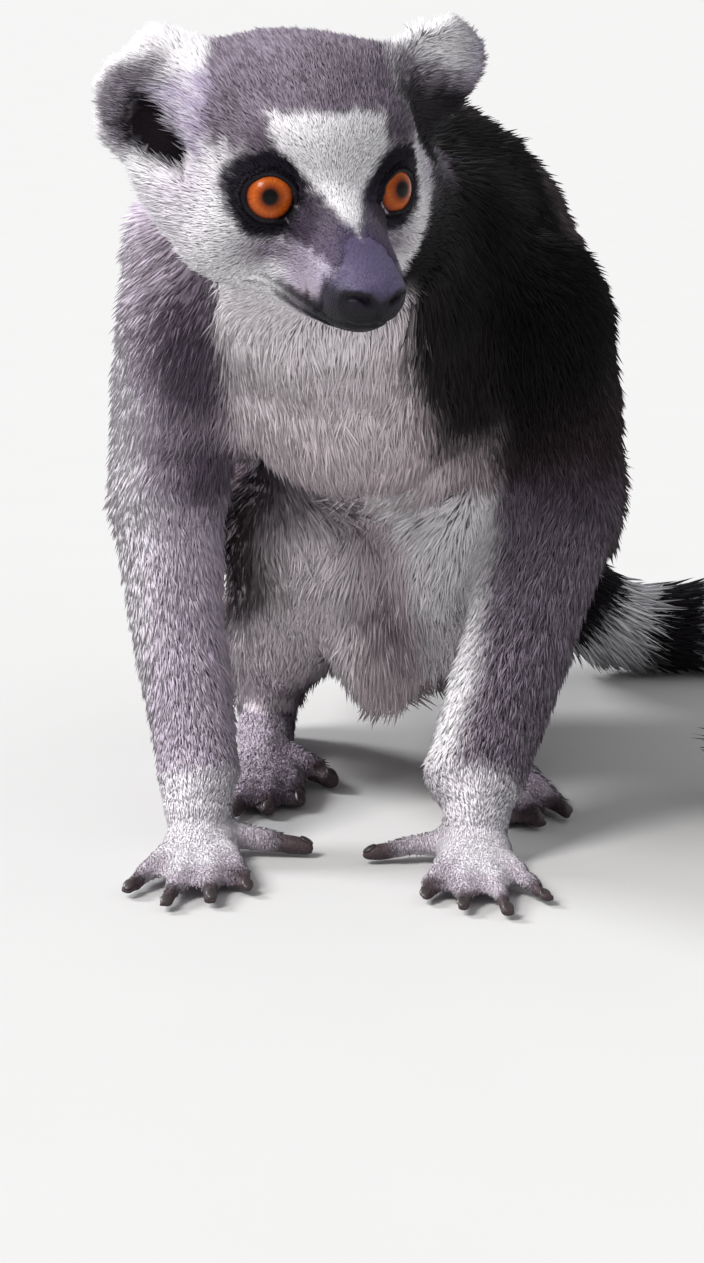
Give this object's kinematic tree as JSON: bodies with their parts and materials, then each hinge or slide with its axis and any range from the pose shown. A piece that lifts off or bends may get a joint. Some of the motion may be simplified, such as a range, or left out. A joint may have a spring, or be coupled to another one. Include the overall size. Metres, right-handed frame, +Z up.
{
  "type": "ring-tailed lemur",
  "caption": "Life-size still model of a ring-tailed lemur crouched on straight arms, knees between them, head turned to its left and ringed tail curled beside it.",
  "frame": {"origin": "centre of the underside of the bounding box, at floor level", "axes": "+Z up, the animal's front towards -Y, its left side towards +X"},
  "size_m": [0.3816, 0.3742, 0.2524],
  "materials": {
    "coat": "dense soft grey coat",
    "ear_coat": "fluffy white coat",
    "tail_coat": "bushy coat ringed in black and white",
    "eye": "wet amber eye",
    "nose_leather": "moist black leathery skin"
  },
  "bodies": {
    "root": {"ear_left": "ear_coat", "ear_right": "ear_coat", "eye_left": "eye", "eye_right": "eye", "foot_left": "coat", "foot_right": "coat", "forearm_left": "coat", "forearm_right": "coat", "hand_left": "coat", "hand_right": "coat", "head": "coat", "neck": "coat", "nose": "nose_leather", "shank_left": "coat", "shank_right": "coat", "tail_1": "tail_coat", "tail_2": "tail_coat", "tail_3": "tail_coat", "tail_4": "tail_coat", "tail_5": "tail_coat", "thigh_left": "coat", "thigh_right": "coat", "trunk": "coat", "upper_arm_left": "coat", "upper_arm_right": "coat"}
  },
  "joints": []
}
